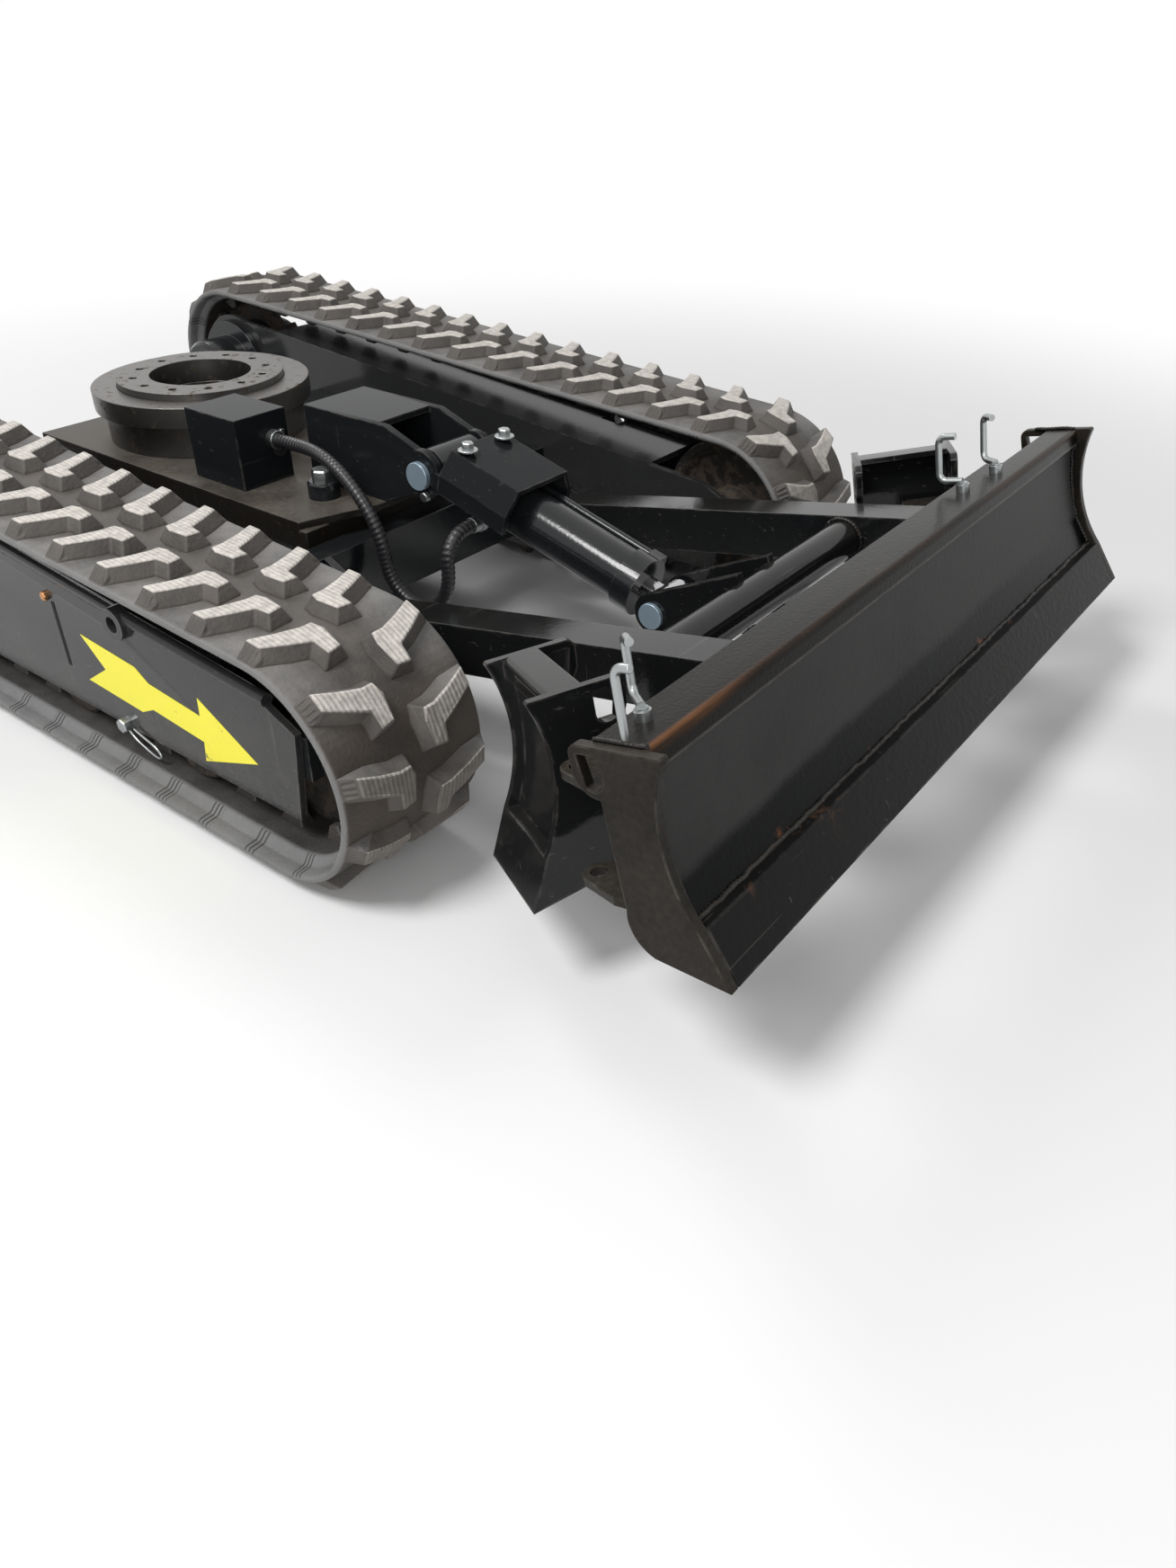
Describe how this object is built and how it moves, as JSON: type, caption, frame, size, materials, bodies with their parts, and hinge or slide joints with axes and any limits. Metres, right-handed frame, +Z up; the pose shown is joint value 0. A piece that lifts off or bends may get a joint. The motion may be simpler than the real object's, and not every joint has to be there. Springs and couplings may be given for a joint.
{
  "type": "tracked undercarriage with dozer blade",
  "caption": "Rubber-tracked undercarriage of a mini excavator, with a slew ring, a hydraulic dozer blade and end wings that fold back behind the blade.",
  "frame": {"origin": "on the ground under the middle of the whole part's box", "axes": "+Z up; -Y the way the dozer blade faces, so +Y to the rear; +X to the machine's left"},
  "size_m": [0.948, 1.6606, 0.367],
  "materials": {
    "black_paint": "gloss black paint, dusty and worn at the edges",
    "frame_paint": "gloss black paint with a plain yellow arrow, splashed with dry mud",
    "blade_paint": "gloss black paint with weld beads, scratches and rust at its edges",
    "track_rubber": "dusty worn rubber",
    "cast_steel": "cast steel, oily and dusty",
    "slew_steel": "machined steel with a film of grease",
    "zinc": "bright zinc plate",
    "pin_steel": "bluish zinc plate",
    "chrome_rod": "polished hard chrome",
    "hose": "black hose in a spiral wrap"
  },
  "bodies": {
    "undercarriage": {"centre_frame": "black_paint", "cross_members": "black_paint", "front_beam": "black_paint", "pivot_lugs": "black_paint", "slew_base": "slew_steel", "swivel_joint": "black_paint", "blade_pivot_pins": "pin_steel", "cylinder_bracket": "black_paint", "cylinder_cover": "black_paint", "cylinder_base_pin": "pin_steel", "hose_box": "black_paint", "hose_gland": "zinc", "blade_hose": "hose", "track_belt_left": "track_rubber", "track_frame_left": "frame_paint", "idler_left": "cast_steel", "idler_yoke_left": "black_paint", "sprocket_left": "cast_steel", "travel_motor_left": "black_paint", "bottom_rollers_left": "cast_steel", "track_belt_right": "track_rubber", "track_frame_right": "frame_paint", "idler_right": "cast_steel", "idler_yoke_right": "black_paint", "sprocket_right": "cast_steel", "travel_motor_right": "black_paint", "bottom_rollers_right": "cast_steel"},
    "blade": {"blade_moldboard": "blade_paint", "blade_cutting_edge": "blade_paint", "blade_top_beam": "blade_paint", "blade_end_plate_left": "blade_paint", "blade_end_plate_right": "blade_paint", "blade_arm_seats": "black_paint", "blade_arm_left": "black_paint", "blade_arm_right": "black_paint", "blade_cross_tubes": "black_paint", "rod_clevis": "black_paint", "rod_pin": "pin_steel", "hinge_shelves": "blade_paint", "hinge_pins": "zinc", "lock_pins": "zinc", "wire_hook": "zinc"},
    "cylinder_barrel": {"cylinder_barrel": "black_paint", "hose_fitting": "zinc"},
    "cylinder_rod": {"cylinder_rod": "chrome_rod"},
    "wing_left": {"wing_blade_left": "blade_paint", "wing_bracket_left": "blade_paint"},
    "wing_right": {"wing_blade_right": "blade_paint", "wing_bracket_right": "blade_paint"},
    "slew_ring": {"slew_ring": "slew_steel"}
  },
  "joints": [
    {"name": "blade_lift", "type": "hinge", "parent": "undercarriage", "child": "blade", "pos_m": [0, -0.14755, 0.13], "axis": [-1, 0, 0], "range_deg": [-24, 3]},
    {"name": "cylinder_tilt", "type": "hinge", "parent": "undercarriage", "child": "cylinder_barrel", "pos_m": [0, -0.13955, 0.26], "axis": [-1, 0, 0], "range_deg": [-20.08, 2.55]},
    {"name": "rod_slide", "type": "slide", "parent": "cylinder_barrel", "child": "cylinder_rod", "axis": [0, -0.964, -0.2658], "range_m": [-0.00627, 0.04879]},
    {"name": "wing_left", "type": "hinge", "parent": "blade", "child": "wing_left", "pos_m": [0.385, -0.71746, 0.20629], "axis": [0, 0.2147, 0.9767], "range_deg": [-120, 10]},
    {"name": "wing_right", "type": "hinge", "parent": "blade", "child": "wing_right", "pos_m": [-0.385, -0.71746, 0.20629], "axis": [0, -0.2147, -0.9767], "range_deg": [-120, 10]},
    {"name": "slew", "type": "hinge", "parent": "undercarriage", "child": "slew_ring", "pos_m": [0, 0.34745, 0.283], "axis": [0, 0, 1], "continuous": true}
  ],
  "couplings": [
    {"joint": "cylinder_tilt", "follows": "blade_lift", "ratio": 0.8345},
    {"joint": "rod_slide", "follows": "blade_lift", "m_per_rad": -0.116}
  ]
}
